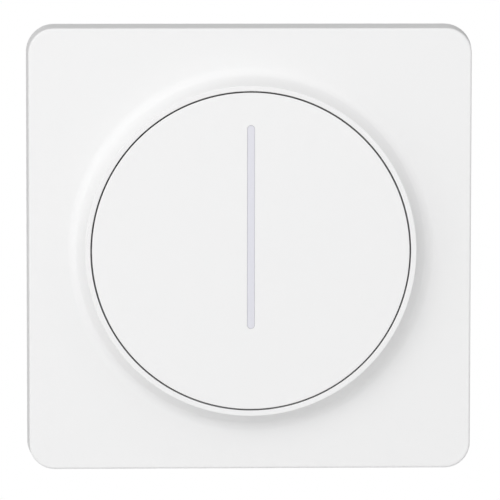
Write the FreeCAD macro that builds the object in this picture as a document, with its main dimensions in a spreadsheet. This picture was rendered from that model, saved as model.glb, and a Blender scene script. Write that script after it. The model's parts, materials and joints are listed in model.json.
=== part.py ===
import FreeCAD, Part
import math
import os
import Sketcher

# Smart dimmer for a round wall box: a square cover plate with a raised ring round a flush press face,
# a light bar in the face, and a mechanism with claws behind the support frame.
# X is to the right, Z is up and the front faces -Y. The wall's surface is y = 0.
# A height is the distance out of the wall, so a height above 0 is in front of the wall (y = -height).

os.makedirs("parts", exist_ok=True)
doc = FreeCAD.newDocument("dimmer")

# Driving dimensions

lengths = {
    # cover plate
    "plate_side": 85.0, "plate_corner": 4.0, "plate_height": 7.0, "plate_skin": 2.0,
    "plate_wall": 2.0, "plate_edge": 0.45, "plate_draft": 0.5, "crown_height": 4.4, "rim_width": 1.05,
    "crown_slope": 65.0, "crown_blend": 2.6, "lip_depth": 3.6, "lip_thick": 1.25, "crown_wall": 1.55,
    "hook_width": 8.0, "hook_thick": 1.3, "hook_root": 0.8, "hook_reach": 0.9, "hook_gap": 0.3,
    "catch_gap": 0.1,
    # press face and its travel
    "face_radius": 30.05, "face_gap": 0.3, "face_skin": 2.0, "skirt_wall": 1.5, "stop_reach": 1.15,
    "stop_thick": 1.0, "stop_gap": 0.3, "face_travel": 0.5, "pin_width": 3.4, "pin_depth": 2.4,
    "pin_x": 10.5, "pin_z": 14.6, "pin_end": 4.2, "pusher_side": 4.4, "latch_gap": 0.5,
    "latch_thick": 1.2, "latch_width": 4.4, "latch_end": 4.9, "latch_barb": 0.75, "latch_lead": 0.45,
    "latch_reach": 1.2, "rail_height": 1.2, "rail_width": 1.0,
    # light bar
    "bar_width": 1.4, "bar_length": 38.6, "bar_rise": 4.6, "bar_recess": 0.1,
    "bar_gap": 0.02, "flange_width": 3.6, "flange_more": 1.0, "flange_thick": 1.0,
    "lens_side": 2.2, "lens_depth": 0.5, "led_side": 1.6, "led_height": 0.7,
    "led_count": 6, "led_pitch": 6.4, "box_width": 6.0, "box_height": 2.9, "well_width": 3.6,
    "well_length": 5.2,
    # front housing
    "housing_gap": 0.3, "housing_wall": 1.25, "housing_top": 8.0, "floor_thick": 1.6,
    "bush_wall": 1.2, "bush_gap": 0.05, "bush_top": 7.0, "shoulder_more": 1.0, "shelf_top": 6.8,
    "pocket_deep": 0.6, "shelf_rim": 0.5, "screw_bay": 4.0, "claw_bay": 3.5,
    # support frame
    "frame_margin": 7.0, "frame_thick": 1.0, "frame_corner": 5.0, "box_spacing": 60.0,
    "slot_width": 4.0, "slot_length": 7.0, "tab_width": 24.0, "tab_height": 4.5,
    "window_low": 2.4, "window_high": 4.0, "opening_width": 26.0, "opening_top": 2.0,
    "opening_bottom": 16.0,
    # rear housing
    "rear_step": 1.75, "claw_room": 3.5, "rear_foot": 22.5, "rear_depth": 24.5,
    "rear_wall": 1.5, "rear_corner": 3.0, "rear_edge": 1.2, "post_radius": 2.1, "entry_side": 3.8,
    "driver_radius": 2.2, "ledge_side": 2.0, "ledge_sunk": 0.2, "ledge_z": 10.0,
    # screws through the housings
    "screw_x": 9.5, "screw_z": 22.4, "post_depth": 8.0, "screw_radius": 1.25, "screw_head": 2.2,
    "head_height": 0.9, "screw_gap": 0.1, "screw_depth": 7.0,
    # claws
    "claw_inset": 4.25, "claw_screw_z": 7.0, "claw_screw_radius": 1.7, "claw_screw_gap": 0.3,
    "claw_head_radius": 2.9, "claw_head_height": 1.9, "claw_slot_depth": 0.95, "claw_slot_width": 0.8,
    "claw_screw_clear": 0.5, "claw_angle": 30.0, "ramp_clear": 5.1, "ramp_length": 13.0,
    "ramp_thick": 1.4, "ramp_inner": 3.4, "claw_sheet": 1.2, "claw_gap": 0.15, "claw_leg": 8.0,
    "claw_tooth": 1.4, "nut_side": 6.0, "nut_height": 2.4,
    # circuit boards and what they carry
    "board_gap": 2.0, "board_half": 20.3, "board_thick": 1.0, "board_back": 3.6,
    "power_front": 6.6, "power_thick": 1.6, "power_gap": 0.3, "pin_count": 8, "pin_pitch": 2.54,
    "pin_side": 0.64, "header_z": 9.0, "header_width": 2.5, "switch_z": 21.0, "switch_side": 6.0,
    "switch_height": 2.5, "plunger_radius": 1.5, "plunger_height": 0.9, "plunger_deep": 1.4,
    "plunger_gap": 0.05, "press_gap": 0.05,
    # return springs
    "spring_x": 22.7, "spring_z": 4.5, "spring_span": 13.6, "spring_width": 2.6,
    "spring_thick": 0.3,
    # terminals
    "terminal_count": 4, "terminal_pitch": 9.0, "cage_side": 6.4, "cage_length": 9.0, "cage_wall": 1.1,
    "cage_z": 16.2, "cage_clear": 1.9, "clamp_radius": 1.5, "clamp_gap": 0.05,
    # heat path and power parts
    "heat_width": 30.0, "heat_length": 15.4, "heat_thick": 2.0, "heat_z": 11.8,
    "case_width": 10.2, "case_length": 14.6, "case_thick": 4.4, "case_x": 8.0,
    "lead_count": 3, "lead_side": 0.8, "radio_x": 11.5, "radio_z": 2.0, "radio_thick": 0.8,
    "radio_width": 12.0,
    "radio_length": 15.0, "radio_rim": 0.8, "radio_antenna": 3.5, "can_top": 2.0,
    "chip_side": 7.0, "chip_height": 0.9, "choke_x": 9.5, "choke_z": 8.5, "can_x": 6.2, "can_z": 5.6,
    "film_x": 8.6, "film_z": 15.5, "fuse_x": 9.0, "fuse_z": 5.0, "varistor_x": 8.0,
    "varistor_z": 20.0, "choke_side": 13.6, "choke_clear": 3.8, "choke_neck": 3.4, "choke_flange": 1.5,
    "winding_inset": 0.5, "can_radius": 4.0, "can_clear": 2.8, "film_width": 12.6, "film_depth": 6.0,
    "film_clear": 3.3, "fuse_radius": 1.7, "fuse_length": 9.0, "varistor_radius": 3.6,
    "varistor_thick": 3.2, "supply_x": 8.5, "supply_width": 7.0, "supply_length": 5.6,
    "supply_height": 1.8,
}

sheet = doc.addObject("Spreadsheet::Sheet", "Sizes")
for row, (name, length) in enumerate(lengths.items(), start=1):
    sheet.set(f"A{row}", name)
    sheet.set(f"B{row}", str(length))
    sheet.setAlias(f"B{row}", name)
doc.recompute()


class Size:
    """A length that carries its number and the formula that ties it to the sheet."""

    def __init__(self, number, text):
        self.number = float(number)
        self.text = text

    def join(self, other, sign, swap=False):
        other = asSize(other)
        first, second = (other, self) if swap else (self, other)
        results = {
            "+": first.number + second.number,
            "-": first.number - second.number,
            "*": first.number * second.number,
            "/": first.number / second.number if sign == "/" else 0,
        }
        return Size(results[sign], f"({first.text} {sign} {second.text})")

    def __add__(self, other):
        return self.join(other, "+")

    def __radd__(self, other):
        return self.join(other, "+", True)

    def __sub__(self, other):
        return self.join(other, "-")

    def __rsub__(self, other):
        return self.join(other, "-", True)

    def __mul__(self, other):
        return self.join(other, "*")

    def __rmul__(self, other):
        return self.join(other, "*", True)

    def __truediv__(self, other):
        return self.join(other, "/")

    def __neg__(self):
        return self.join(0, "-", True)

    def __float__(self):
        return self.number


def asSize(thing):
    if isinstance(thing, Size):
        return thing
    return Size(thing, f"({float(thing):.9g})" if thing < 0 else f"{float(thing):.9g}")


def sine(angle):
    return Size(math.sin(math.radians(float(angle))), f"sin({asSize(angle).text} * 1 deg)")


def cosine(angle):
    return Size(math.cos(math.radians(float(angle))), f"cos({asSize(angle).text} * 1 deg)")


def root(thing):
    return Size(math.sqrt(thing.number), f"sqrt({thing.text})")


class Sizes:
    """The sheet's lengths by name."""

    def __getattr__(self, name):
        return Size(lengths[name], f"Sizes.{name}")


s = Sizes()
nodes = []


def bind(thing, **places):
    for place, size in places.items():
        thing.setExpression(place.replace("__", "."), asSize(size).text)


# Paths for sketches: each point is (x, z), or (x, z, radius) for an arc that ends there, with the radius
# above 0 where the arc turns to the left and under 0 where it turns to the right

def arcCentre(start, end, radius):
    """The centre of the short arc from start to end."""
    mid = (start + end) * 0.5
    half = end - start
    rise = math.sqrt(max(radius * radius - half.Length ** 2 / 4, 0))
    left = FreeCAD.Vector(-half.y, half.x, 0)
    left.normalize()
    return mid + left * rise * (1 if radius > 0 else -1)


def arcEdge(start, end, radius):
    """The short arc between two points, drawn anticlockwise as a sketch keeps it."""
    centre = arcCentre(start, end, radius)
    circle = Part.Circle(centre, FreeCAD.Vector(0, 0, 1), abs(radius))
    first, last = (start, end) if radius > 0 else (end, start)
    return Part.ArcOfCircle(circle, angleTo(centre, first), angleTo(centre, last))


def angleTo(centre, point):
    return math.atan2(point.y - centre.y, point.x - centre.x)


def drawLoop(sketch, path):
    """A closed outline whose corners and radii are tied to the sheet."""
    first = sketch.GeometryCount
    points = [FreeCAD.Vector(float(p[0]), float(p[1]), 0) for p in path]
    count = len(path)
    starts = []
    for i in range(count):
        start, end = points[i], points[(i + 1) % count]
        target = path[(i + 1) % count]
        if len(target) == 3:
            sketch.addGeometry(arcEdge(start, end, float(target[2])), False)
            starts.append(1 if float(target[2]) > 0 else 2)
        else:
            sketch.addGeometry(Part.LineSegment(start, end), False)
            starts.append(1)
    for i in range(count):
        following = (i + 1) % count
        sketch.addConstraint(Sketcher.Constraint(
            "Coincident", first + i, 3 - starts[i], first + following, starts[following]))
    for i in range(count):
        for kind, axis in (("DistanceX", 0), ("DistanceY", 1)):
            size = asSize(path[i][axis])
            place = sketch.addConstraint(
                Sketcher.Constraint(kind, -1, 1, first + i, starts[i], size.number))
            sketch.setExpression(f"Constraints[{place}]", size.text)
        target = path[(i + 1) % count]
        if len(target) == 3:
            radius = asSize(target[2])
            radius = radius if radius.number > 0 else -radius
            place = sketch.addConstraint(Sketcher.Constraint("Radius", first + i, radius.number))
            sketch.setExpression(f"Constraints[{place}]", radius.text)


def drawCircle(sketch, x, z, radius):
    x, z, radius = asSize(x), asSize(z), asSize(radius)
    centre = FreeCAD.Vector(x.number, z.number, 0)
    index = sketch.addGeometry(Part.Circle(centre, FreeCAD.Vector(0, 0, 1), radius.number), False)
    for kind, size in (("DistanceX", x), ("DistanceY", z)):
        place = sketch.addConstraint(Sketcher.Constraint(kind, -1, 1, index, 3, size.number))
        sketch.setExpression(f"Constraints[{place}]", size.text)
    place = sketch.addConstraint(Sketcher.Constraint("Radius", index, radius.number))
    sketch.setExpression(f"Constraints[{place}]", radius.text)


def rectangle(low_x, low_z, high_x, high_z):
    return [(low_x, low_z), (high_x, low_z), (high_x, high_z), (low_x, high_z)]


def centred(x, z, width, length):
    x, z, width, length = asSize(x), asSize(z), asSize(width), asSize(length)
    return rectangle(x - width / 2, z - length / 2, x + width / 2, z + length / 2)


def rounded(x, z, width, length, corner):
    """A rectangle round (x, z) with rounded corners."""
    x, z = asSize(x), asSize(z)
    a, b = asSize(width) / 2, asSize(length) / 2
    r = asSize(corner)
    return [(x - a + r, z - b, r), (x + a - r, z - b), (x + a, z - b + r, r), (x + a, z + b - r),
            (x + a - r, z + b, r), (x - a + r, z + b), (x - a, z + b - r, r), (x - a, z - b + r)]


def flatted(radius, half, foot=None):
    """A circle cut by flats at x = half and -half, and by a flat foot at z = -foot where one is given."""
    radius, half = asSize(radius), asSize(half)
    high = root(radius * radius - half * half)
    if foot is None:
        return [(half, -high, radius), (half, high), (-half, high, radius), (-half, -high)]
    return [(half, -foot), (half, high), (-half, high, radius), (-half, -foot)]


def depthwise(profile):
    """A profile of (distance, height) points as points of the XY plane, where a height is -y."""
    return [(p[0], -asSize(p[1]), *[-asSize(radius) for radius in p[2:]]) for p in profile]


class Piece:
    """One moulded, cut or stamped piece, built up as a body of features."""

    def __init__(self, name):
        self.body = doc.addObject("PartDesign::Body", name)
        self.body.AllowCompound = True
        self.body.Label = name
        self.count = 0
        nodes.append(self.body)

    def named(self, kind):
        self.count += 1
        return f"{self.body.Name}_{kind}_{self.count}"

    def sketch(self, role, lift, loops, circles=(), spun=None):
        """A sketch on an origin plane, lifted off it and turned about an axis where spun gives one."""
        drawn = self.body.newObject("Sketcher::SketchObject", self.named("outline"))
        drawn.AttachmentSupport = [(self.origin(role), "")]
        drawn.MapMode = "FlatFace"
        if spun:
            drawn.AttachmentOffset = FreeCAD.Placement(FreeCAD.Vector(), FreeCAD.Rotation(*spun))
        bind(drawn, __AttachmentOffset__Base__z=lift)
        for loop in loops:
            drawLoop(drawn, loop)
        for circle in circles:
            drawCircle(drawn, *circle)
        return drawn

    def feature(self, kind, drawn):
        made = self.body.newObject(f"PartDesign::{kind}", self.named(kind.lower()))
        made.Profile = drawn
        return made

    def settle(self, more=None):
        """Recompute, and stop where a feature that should add or take away material doesn't."""
        before = getattr(self, "volume", 0)
        doc.recompute()
        self.volume = self.body.Shape.Volume
        if more is not None:
            changed = self.volume - before
            if (changed > 1e-6) != more or abs(changed) < 1e-6:
                raise ValueError(f"{self.body.Label}: feature {self.count} changed {changed}")

    def pad(self, low, high, loops=(), circles=(), turned=0):
        """Material between two heights."""
        spun = (FreeCAD.Vector(0, 0, 1), turned)
        made = self.feature("Pad", self.sketch("XZ_Plane", low, loops, circles, spun))
        bind(made, Length=asSize(high) - low)
        self.settle(True)
        return made

    def pocket(self, low, high, loops=(), circles=(), turned=0):
        """A cut between two heights, worked from the front."""
        spun = (FreeCAD.Vector(0, 0, 1), turned)
        made = self.feature("Pocket", self.sketch("XZ_Plane", high, loops, circles, spun))
        bind(made, Length=asSize(high) - low)
        self.settle(False)
        return made

    def taper(self, low, high, first, last):
        """Material between two rounded squares, each given by its side and its corner."""
        sketches = [self.sketch("XZ_Plane", height, [rounded(0, 0, side, side, corner)])
                    for height, (side, corner) in ((low, first), (high, last))]
        made = self.feature("AdditiveLoft", sketches[0])
        made.Sections = [sketches[1]]
        made.Ruled = True
        self.settle(True)
        return made

    def turn(self, profile):
        """A profile of (radius, height) points turned about the axis through the face's centre."""
        made = self.feature("Revolution", self.sketch("XY_Plane", 0, [depthwise(profile)]))
        made.ReferenceAxis = (made.Profile[0], ["V_Axis"])
        made.Angle = 360
        self.settle(True)
        return made

    def side(self, low_z, high_z, profiles=(), circles=(), cut=False):
        """Profiles of (x, height) points, or circles, drawn out along Z."""
        lift = asSize(high_z) if cut else low_z
        rounds = [(x, -asSize(height), radius) for x, height, radius in circles]
        drawn = self.sketch("XY_Plane", lift, [depthwise(p) for p in profiles], rounds)
        made = self.feature("Pocket" if cut else "Pad", drawn)
        bind(made, Length=asSize(high_z) - low_z)
        self.settle(not cut)
        return made

    def blade(self, width, profile, turned=0):
        """A profile of (radius, height) points, as thick as width, standing at an angle round the face."""
        spun = (FreeCAD.Vector(0, 1, 0), turned)
        made = self.feature("Pad", self.sketch("XY_Plane", 0, [depthwise(profile)], (), spun))
        made.SideType = "Symmetric"
        bind(made, Length=width)
        self.settle(True)
        return made

    def across(self, low_x, high_x, profiles=(), circles=(), cut=False):
        """Profiles of (z, height) points, or circles, drawn out along X."""
        lift = asSize(high_x) if cut else low_x
        loops = [[(-asSize(p[1]), p[0], *p[2:]) for p in profile] for profile in profiles]
        rounds = [(-asSize(height), z, radius) for z, height, radius in circles]
        made = self.feature("Pocket" if cut else "Pad", self.sketch("YZ_Plane", lift, loops, rounds))
        bind(made, Length=asSize(high_x) - low_x)
        self.settle(not cut)
        return made

    def spin(self, features, count):
        """Copies of features round the axis through the face's centre."""
        made = self.body.newObject("PartDesign::PolarPattern", self.named("round"))
        made.Originals = features
        made.Axis = (self.origin("Y_Axis"), [""])
        made.Angle = 360
        made.Occurrences = count
        self.body.Tip = made
        self.settle()
        return made

    def origin(self, role):
        return [item for item in self.body.Origin.OriginFeatures if item.Role == role][0]

    def edges(self, chosen):
        """The names of the edges that chosen picks, by their shape."""
        shape = self.body.Shape
        return [f"Edge{i}" for i, edge in enumerate(shape.Edges, start=1) if chosen(edge)]

    def fillet(self, radius, chosen):
        return self.dress("Fillet", "Radius", radius, chosen)

    def chamfer(self, length, chosen):
        return self.dress("Chamfer", "Size", length, chosen)

    def dress(self, kind, place, size, chosen):
        base = self.body.Tip
        names = self.edges(chosen)
        if not names:
            raise ValueError(f"{self.body.Label}: no edge for the {kind.lower()}")
        made = self.body.newObject(f"PartDesign::{kind}", self.named(kind.lower()))
        made.Base = (base, names)
        bind(made, **{place: size})
        self.settle()
        return made


def atHeight(edge, height):
    box = edge.BoundBox
    return abs(box.YMin + float(height)) < 1e-4 and abs(box.YMax + float(height)) < 1e-4


def isUpright(edge):
    """Does this edge run straight out of the wall?"""
    box = edge.BoundBox
    return box.XLength < 1e-4 and box.ZLength < 1e-4


def corners(x, z):
    """The four places at x and z on both sides of the middle, anticlockwise from the upper right."""
    return [(x, z), (-asSize(x), z), (-asSize(x), -asSize(z)), (x, -asSize(z))]


def spread(pitch, count, middle=0):
    """Places in a row, a pitch apart, on both sides of the middle."""
    return [middle + pitch * (i - (count - 1) / 2) for i in range(count)]


# Shared places

plateTop = s.plate_height
frontSide = s.plate_side - s.plate_draft * 2
crownTop = s.plate_height + s.crown_height
holeRadius = s.face_radius + s.face_gap
rimRadius = holeRadius + s.rim_width
blendDrop = s.crown_blend * (1 - cosine(s.crown_slope))
slopeDrop = s.crown_height - blendDrop
slopeRadius = rimRadius + slopeDrop * cosine(s.crown_slope) / sine(s.crown_slope)
footRadius = slopeRadius + s.crown_blend * sine(s.crown_slope)
skinBack = s.plate_height - s.plate_skin
lipBack = crownTop - s.lip_depth
lipRadius = holeRadius + s.lip_thick
frameTop = s.frame_thick
frameSide = s.plate_side - s.frame_margin * 2
floorTop = s.frame_thick + s.floor_thick
skirtRadius = s.face_radius - s.skirt_wall
faceBack = crownTop - s.face_skin
stopTop = lipBack - s.stop_gap
stopRadius = s.face_radius + s.stop_reach
housingRadius = skirtRadius - s.housing_gap
housingInner = housingRadius - s.housing_wall
latchRadius = housingInner - s.latch_gap
boardFront = s.board_back + s.board_thick
boardRadius = housingInner - s.board_gap
clawX = housingRadius - s.claw_inset
rearRadius = housingRadius - s.rear_step
rearHalf = clawX - s.claw_room
rampStart = s.rear_depth - s.ramp_clear
cageEnd = s.rear_depth - s.cage_clear
pinPlaces = corners(s.pin_x, s.pin_z)
screwPlaces = corners(s.screw_x, s.screw_z)[0::2]
clawPlaces = [(clawX, -s.claw_screw_z), (-clawX, s.claw_screw_z)]
terminalPlaces = spread(s.terminal_pitch, int(lengths["terminal_count"]))
boxReach = s.box_spacing / 2
boxPlaces = [(boxReach, 0), (-boxReach, 0), (0, boxReach), (0, -boxReach)]
springPlaces = [(s.spring_x, s.spring_z), (-s.spring_x, -s.spring_z)]
ledPlaces = spread(s.led_pitch, int(lengths["led_count"]), s.bar_rise)
headerPlaces = spread(s.pin_pitch, int(lengths["pin_count"]))
casePlaces = [s.case_x, -s.case_x]
leadPlaces = [place for x in casePlaces for place in spread(s.pin_pitch, int(lengths["lead_count"]), x)]
caseFoot = s.heat_z - s.case_length / 2
leadZ = caseFoot - s.lead_side * 2
latchTurn = 45
powerBack = s.power_front + s.power_thick
backRoom = s.rear_depth - s.rear_wall - powerBack


# Cover plate: a square shell with drafted sides, a raised ring with a hollow back, and four snap hooks

def coverPlate():
    plate = Piece("cover_plate")
    plate.taper(0, plateTop, (s.plate_side, s.plate_corner), (frontSide, s.plate_corner - s.plate_draft))
    front = float(plateTop)
    plate.chamfer(s.plate_edge, lambda edge: atHeight(edge, front))
    inner = frontSide - s.plate_wall * 2
    plate.pocket(0, skinBack, [centred(0, 0, inner, inner)])
    plate.pocket(skinBack, plateTop, circles=[(0, 0, footRadius - s.rim_width)])
    coreFoot = footRadius - s.crown_wall
    plate.turn([
        (holeRadius, lipBack),
        (lipRadius, lipBack),
        (coreFoot, skinBack),
        (footRadius, skinBack),
        (footRadius, plateTop),
        (slopeRadius, plateTop + blendDrop, -s.crown_blend),
        (rimRadius, crownTop),
        (holeRadius, crownTop),
    ])
    hookFace = frameSide / 2 + s.hook_gap
    barbTip = hookFace - s.hook_reach
    catchTop = s.window_high - s.catch_gap
    catchFoot = s.window_low + s.catch_gap
    hook = plate.blade(s.hook_width, [
        (hookFace, skinBack + s.catch_gap),
        (hookFace, catchTop),
        (barbTip, catchTop),
        (barbTip, (catchTop + catchFoot) / 2),
        (hookFace, catchFoot),
        (hookFace, s.window_low - s.hook_reach),
        (hookFace + s.hook_root, s.window_low - s.hook_reach),
        (hookFace + s.hook_thick, catchTop),
        (hookFace + s.hook_thick, skinBack + s.catch_gap),
    ])
    plate.spin([hook], 4)


def pinLoops(more):
    """The outlines of the face's guide pins, let out by more on every side."""
    return [centred(x, z, s.pin_width + more * 2, s.pin_depth + more * 2) for x, z in pinPlaces]


# Press face: a flat disc with a skirt that ends in a stop flange behind the ring's lip, and on its back
# guide pins, latches, a pusher and rails for the light guide

def pressFace():
    face = Piece("press_face")
    face.turn([
        (0, faceBack),
        (skirtRadius, faceBack),
        (skirtRadius, stopTop - s.stop_thick),
        (stopRadius, stopTop - s.stop_thick),
        (stopRadius, stopTop),
        (s.face_radius, stopTop),
        (s.face_radius, crownTop),
        (0, crownTop),
    ])
    wide = s.bar_width + s.bar_gap * 2
    face.pocket(faceBack, crownTop, [barLoop(wide, s.bar_length + s.bar_gap * 2)])
    face.pad(s.pin_end, faceBack, pinLoops(0))
    switchTop = boardFront + s.switch_height + s.plunger_height
    face.pad(switchTop + s.press_gap, faceBack,
             [centred(0, -s.switch_z, s.pusher_side, s.pusher_side)])
    rail = s.flange_width / 2 + s.bar_gap * 2
    low = s.bar_rise - s.bar_length / 2
    high = s.bar_rise + s.bar_length / 2
    face.pad(faceBack - s.rail_height, faceBack, [
        rectangle(rail, low, rail + s.rail_width, high),
        rectangle(-rail - s.rail_width, low, -rail, high)])
    inner = latchRadius - s.latch_thick
    barbTop = s.latch_end + s.latch_barb
    latch = face.blade(s.latch_width, [
        (inner, faceBack + s.press_gap),
        (inner, s.latch_end),
        (latchRadius + s.latch_lead, s.latch_end),
        (latchRadius + s.latch_reach, s.latch_end + s.latch_lead),
        (latchRadius + s.latch_reach, barbTop),
        (latchRadius, barbTop),
        (latchRadius, faceBack + s.press_gap),
    ], latchTurn)
    face.spin([latch], 4)


def barLoop(width, length):
    """The light bar's outline: straight sides and full round ends."""
    half = asSize(width) / 2
    low = s.bar_rise - asSize(length) / 2 + half
    high = s.bar_rise + asSize(length) / 2 - half
    return [(half, low, half), (half, high), (0, high + half, half), (-half, high, half),
            (-half, low), (0, low - half, half)]


# Light guide: a clear bar that fills the slot, with a flange behind the face and a lens for each LED

def lightGuide():
    guide = Piece("light_guide")
    guide.pad(faceBack, crownTop - s.bar_recess, [barLoop(s.bar_width, s.bar_length)])
    flange = centred(0, s.bar_rise, s.flange_width, s.bar_length + s.flange_more * 2)
    flangeBack = faceBack - s.flange_thick
    guide.pad(flangeBack, faceBack, [flange])
    lensEnd = flangeBack - s.lens_depth
    guide.pad(lensEnd, flangeBack, [centred(0, z, s.lens_side, s.lens_side) for z in ledPlaces])


# Lamp board parts: the LEDs and the white frame that keeps their light apart

def ledRow():
    leds = Piece("leds")
    leds.pad(boardFront, boardFront + s.led_height,
             [centred(0, z, s.led_side, s.led_side) for z in ledPlaces])


def lightBox():
    frame = Piece("light_box")
    length = ledPlaces[-1] - ledPlaces[0] + s.well_length + s.box_width - s.well_width
    top = boardFront + s.box_height
    frame.pad(boardFront, top, [centred(0, s.bar_rise, s.box_width, length)])
    frame.pocket(boardFront, top, [centred(0, z, s.well_width, s.well_length) for z in ledPlaces])


# Control board: a round board with flats, carried on the shoulders of the guide bushes

def controlBoard():
    board = Piece("control_board")
    board.pad(s.board_back, boardFront, [flatted(boardRadius, s.board_half)])
    board.pocket(s.board_back, boardFront, pinLoops(s.bush_gap + s.bush_wall + s.screw_gap))
    board.pocket(s.board_back, boardFront, pinHoles(s.screw_gap))


def pinHoles(gap):
    side = s.pin_side + gap * 2
    return [centred(x, -s.header_z, side, side) for x in headerPlaces]


def block(name, x, z, low, high, width, length):
    """A plain block, the form of many of the small pieces."""
    made = Piece(name)
    made.pad(low, high, [centred(x, z, width, length)])
    return made


def radioModule():
    x, z = -s.radio_x, s.radio_z
    top = boardFront + s.radio_thick
    block("radio_board", x, z, boardFront, top, s.radio_width, s.radio_length)
    canZ = z - s.radio_antenna / 2
    block("shield_can", x, canZ, top, top + s.can_top, s.radio_width - s.radio_rim,
          s.radio_length - s.radio_rim - s.radio_antenna)
    block("processor_chip", s.radio_x, s.radio_z, boardFront, boardFront + s.chip_height,
          s.chip_side, s.chip_side)


def pushSwitch():
    body = Piece("switch_body")
    top = boardFront + s.switch_height
    body.pad(boardFront, top, [centred(0, -s.switch_z, s.switch_side, s.switch_side)])
    well = s.plunger_radius + s.plunger_gap
    wellFoot = top - s.plunger_deep - s.face_travel - s.press_gap
    body.pocket(wellFoot, top, circles=[(0, -s.switch_z, well)])
    plunger = Piece("switch_plunger")
    plunger.pad(top - s.plunger_deep, top + s.plunger_height,
                circles=[(0, -s.switch_z, s.plunger_radius)])


def header():
    strip = Piece("header_strip")
    length = s.pin_pitch * s.pin_count
    foot = s.board_back - s.header_width
    strip.pad(foot, s.board_back, [centred(0, -s.header_z, length, s.header_width)])
    strip.pocket(foot, s.board_back, pinHoles(s.plunger_gap))
    pins = Piece("header_pins")
    pins.pad(-powerBack - s.pin_side, boardFront, pinHoles(0))


# Front housing: a round moulded carrier with guide bushes, latch windows, bays for the box screws and the
# claw screws, and seats for the return springs

def frontHousing():
    housing = Piece("front_housing")
    housing.pad(frameTop, s.housing_top, circles=[(0, 0, housingRadius)])
    housing.pocket(floorTop, s.housing_top, circles=[(0, 0, housingInner)])
    shelf = s.spring_width + s.shelf_rim * 4
    seat = s.spring_width + s.shelf_rim
    long = s.spring_span + s.shelf_rim * 3
    seatLong = s.spring_span + s.shelf_rim
    housing.pad(floorTop, s.shelf_top, [centred(x, z, shelf, long) for x, z in springPlaces])
    housing.pocket(s.shelf_top - s.pocket_deep, s.shelf_top,
                   [centred(x, z, seat, seatLong) for x, z in springPlaces])
    bush = s.bush_gap + s.bush_wall
    housing.pad(floorTop, s.board_back, pinLoops(bush + s.shoulder_more))
    housing.pad(s.board_back, s.bush_top, pinLoops(bush))
    housing.pocket(floorTop, s.bush_top, pinLoops(s.bush_gap))
    side = s.screw_bay * 2
    bays = [centred(x, z, side, side) for x, z in boxPlaces]
    width = (s.claw_inset + s.shelf_rim) * 2
    bays += [centred(x, z, width, s.claw_bay * 2) for x, z in clawPlaces]
    for bay in bays:
        housing.pocket(frameTop, s.housing_top, [bay])
    window = s.latch_width + s.shoulder_more
    low = s.latch_end - s.face_travel - s.shelf_rim
    high = s.latch_end + s.latch_barb + s.press_gap
    middle = housingInner + s.housing_wall / 2
    depth = s.housing_wall * 2
    housing.pocket(low, high, [centred(middle, 0, depth, window), centred(-middle, 0, depth, window),
                               centred(0, middle, window, depth), centred(0, -middle, window, depth)],
                   turned=latchTurn)
    length = s.pin_pitch * s.pin_count + s.shelf_rim * 2
    width = s.header_width + s.shelf_rim * 2
    housing.pocket(frameTop, floorTop, [centred(0, -s.header_z, length, width)])
    housing.pocket(frameTop, floorTop,
                   circles=[(x, z, s.screw_radius + s.screw_gap) for x, z in screwPlaces])


# Return springs: two bowed leaves of spring steel under the face

def returnSprings():
    springs = Piece("return_springs")
    foot = s.shelf_top - s.pocket_deep
    rise = faceBack - s.press_gap - foot
    half = s.spring_span / 2
    bow = (half * half + rise * rise) / (rise * 2)
    drop = bow - rise
    inside = root((bow - s.spring_thick) * (bow - s.spring_thick) - drop * drop)
    for x, z in springPlaces:
        springs.across(x - s.spring_width / 2, x + s.spring_width / 2, [[
            (z - half, foot),
            (z + half, foot, -bow),
            (z + inside, foot),
            (z - inside, foot, bow - s.spring_thick),
        ]])


# Support frame: pressed steel with bent tabs, slots for the box screws and an opening for the header

def supportFrame():
    frame = Piece("support_frame")
    side = frameSide
    frame.pad(0, frameTop, [rounded(0, 0, side, side, s.frame_corner)])
    tab = frame.blade(s.tab_width, [
        (side / 2 - s.frame_thick, frameTop / 2),
        (side / 2, frameTop / 2),
        (side / 2, s.tab_height),
        (side / 2 - s.frame_thick, s.tab_height),
    ])
    frame.spin([tab], 4)
    window = s.hook_width + s.shelf_rim * 2
    reach = side / 2
    deep = s.frame_thick * 3
    frame.pocket(s.window_low, s.window_high, [
        centred(reach, 0, deep, window), centred(-reach, 0, deep, window),
        centred(0, reach, window, deep), centred(0, -reach, window, deep)])
    run, wide = s.slot_length, s.slot_width
    frame.pocket(0, frameTop, [slotLoop(boxReach, 0, run, wide), slotLoop(-boxReach, 0, run, wide),
                               slotLoop(0, boxReach, wide, run), slotLoop(0, -boxReach, wide, run)])
    middle = (s.opening_top - s.opening_bottom) / 2
    tall = s.opening_top + s.opening_bottom
    frame.pocket(0, frameTop, [centred(0, middle, s.opening_width, tall)])
    frame.pocket(0, frameTop,
                 circles=[(x, z, s.screw_radius + s.screw_gap) for x, z in screwPlaces])
    frame.pocket(0, frameTop,
                 circles=[(x, z, s.claw_screw_radius + s.claw_screw_gap) for x, z in clawPlaces])


def slotLoop(x, z, width, length):
    """A slot with full round ends, along X where it is wider than long."""
    x, z, a, b = asSize(x), asSize(z), asSize(width) / 2, asSize(length) / 2
    if float(a) > float(b):
        r = b
        return [(x + a - r, z - r), (x + a, z, r), (x + a - r, z + r, r), (x - a + r, z + r),
                (x - a, z, r), (x - a + r, z - r, r)]
    r = a
    return [(x + r, z - b + r, r), (x + r, z + b - r), (x, z + b, r), (x - r, z + b - r, r),
            (x - r, z - b + r), (x, z - b, r)]


# Rear housing: the moulded box that goes into the wall, with ramps for the claws and terminal entries

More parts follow.
